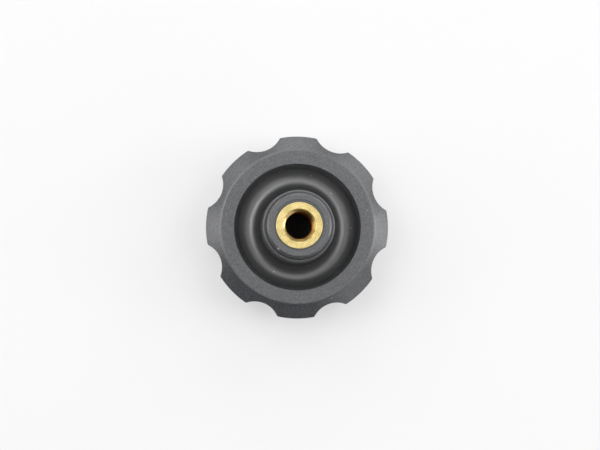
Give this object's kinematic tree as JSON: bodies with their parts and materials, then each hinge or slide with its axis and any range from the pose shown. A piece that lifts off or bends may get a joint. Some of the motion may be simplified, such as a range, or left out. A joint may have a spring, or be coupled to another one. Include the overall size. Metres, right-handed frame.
{
  "type": "hand knob",
  "caption": "Moulded plastic hand knob with a scalloped edge, a flat rim, a round-bottomed trough and a raised boss around a threaded brass insert, to turn and clamp a stud by hand.",
  "frame": {"origin": "centre of the crown face that the knob lies on", "axes": "+Z along the thread axis, from the crown face out of the mouth of the insert; +X through the middle of a lobe"},
  "size_m": [0.0462, 0.0462, 0.0275],
  "materials": {
    "moulded_plastic": "satin dark grey moulding with a fine grain on the rim and bevel, smoother in the trough",
    "turned_brass": "bright turned face with fine lathe marks"
  },
  "bodies": {
    "root": {"knob_body": "moulded_plastic", "threaded_insert": "turned_brass"}
  },
  "joints": []
}
